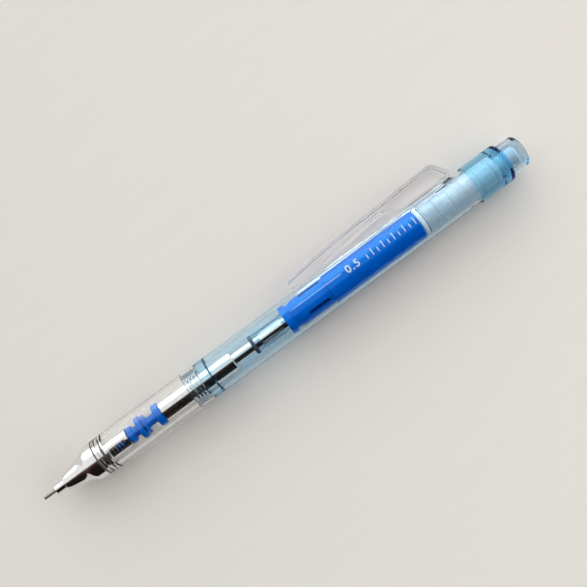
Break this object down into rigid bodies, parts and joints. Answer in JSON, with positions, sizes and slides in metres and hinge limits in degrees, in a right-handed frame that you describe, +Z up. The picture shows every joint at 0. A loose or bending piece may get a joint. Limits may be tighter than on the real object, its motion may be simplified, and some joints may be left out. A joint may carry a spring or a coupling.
{
  "type": "mechanical pencil",
  "caption": "Clear-bodied shake-feed mechanical pencil with a chrome nose, sliding weight, lead tank, sliding pocket clip, twist-out eraser and pull-off cap.",
  "frame": {"origin": "bottom centre of the whole pencil's box, on the surface it lies on, at half its length", "axes": "+X along the pencil from the writing tip to the eraser cap, +Z up from the surface it lies on, +Y to the side that the clip is on, with the clip turned 15.5 degrees downwards"},
  "size_m": [0.1474, 0.0157, 0.0104],
  "materials": {
    "chrome_plate": "bright chrome plating, polished",
    "pipe_steel": "drawn stainless steel tube, fine drawing lines",
    "spring_steel": "spring steel wire",
    "retainer_rubber": "soft black rubber",
    "chuck_brass": "turned brass",
    "graphite": "graphite lead, faint metallic sheen",
    "clear_grip": "clear moulded plastic, polished",
    "clear_clip": "clear moulded plastic, polished",
    "clear_cap": "clear moulded plastic, polished",
    "blue_clear_barrel": "light blue transparent moulded plastic, polished",
    "blue_clear_knob": "sky blue transparent moulded plastic, polished",
    "blue_core": "saturated blue moulded plastic",
    "natural_plastic": "natural translucent plastic, slightly milky",
    "white_plastic": "white moulded plastic",
    "dark_stop": "dark moulded plastic ring",
    "white_vinyl": "white vinyl eraser, matte"
  },
  "bodies": {
    "shell": {"tip_pipe": "pipe_steel", "tip_cone": "chrome_plate", "lead_retainer": "retainer_rubber", "chuck_housing": "chrome_plate", "return_spring": "spring_steel", "front_grip": "clear_grip", "barrel": "blue_clear_barrel"},
    "clutch": {"clutch_ring": "chuck_brass"},
    "lead": {"lead": "graphite"},
    "push_unit": {"chuck": "chuck_brass", "chuck_sleeve": "blue_core", "lead_pipe": "chrome_plate", "pipe_stop_ring": "dark_stop", "tank_connector": "clear_cap", "lead_tank": "blue_core", "spare_leads": "graphite"},
    "weight": {"shake_weight": "chrome_plate"},
    "clip": {"clip": "clear_clip", "lock_shoe": "clear_clip"},
    "eraser_unit": {"eraser_guide": "white_plastic"},
    "twist": {"spiral_tube": "natural_plastic", "twist_knob": "blue_clear_knob", "eraser_nozzle": "blue_clear_barrel"},
    "eraser": {"eraser_holder": "white_plastic", "eraser": "white_vinyl"},
    "cap": {"eraser_cap": "clear_cap"}
  },
  "joints": [
    {"name": "knock", "type": "slide", "parent": "shell", "child": "push_unit", "axis": [-1, 0, 0], "range_m": [0, 0.0025], "stiffness_N_per_m": 1200, "deforming": ["return_spring"]},
    {"name": "clutch_travel", "type": "slide", "parent": "shell", "child": "clutch", "axis": [-1, 0, 0], "range_m": [0, 0.0007]},
    {"name": "lead_feed", "type": "slide", "parent": "clutch", "child": "lead", "axis": [-1, 0, 0], "range_m": [0, 0.006]},
    {"name": "weight_shake", "type": "slide", "parent": "push_unit", "child": "weight", "axis": [1, 0, 0], "range_m": [0, 0.0055]},
    {"name": "clip_lock", "type": "slide", "parent": "shell", "child": "clip", "axis": [1, 0, 0], "range_m": [0, 0.003]},
    {"name": "refill_pull", "type": "slide", "parent": "push_unit", "child": "eraser_unit", "axis": [1, 0, 0], "range_m": [0, 0.03]},
    {"name": "eraser_twist", "type": "hinge", "parent": "eraser_unit", "child": "twist", "pos_m": [0.06325, -0.00274, 0.0052], "axis": [-1, 0, 0], "range_deg": [0, 540]},
    {"name": "eraser_feed", "type": "slide", "parent": "eraser_unit", "child": "eraser", "axis": [1, 0, 0], "range_m": [0, 0.009]},
    {"name": "cap_pull", "type": "slide", "parent": "eraser", "child": "cap", "axis": [1, 0, 0], "range_m": [0, 0.02]}
  ],
  "couplings": [
    {"joint": "clutch_travel", "follows": "knock", "ratio": 0.28},
    {"joint": "eraser_twist", "follows": "eraser_feed", "rad_per_m": 1047.2}
  ]
}
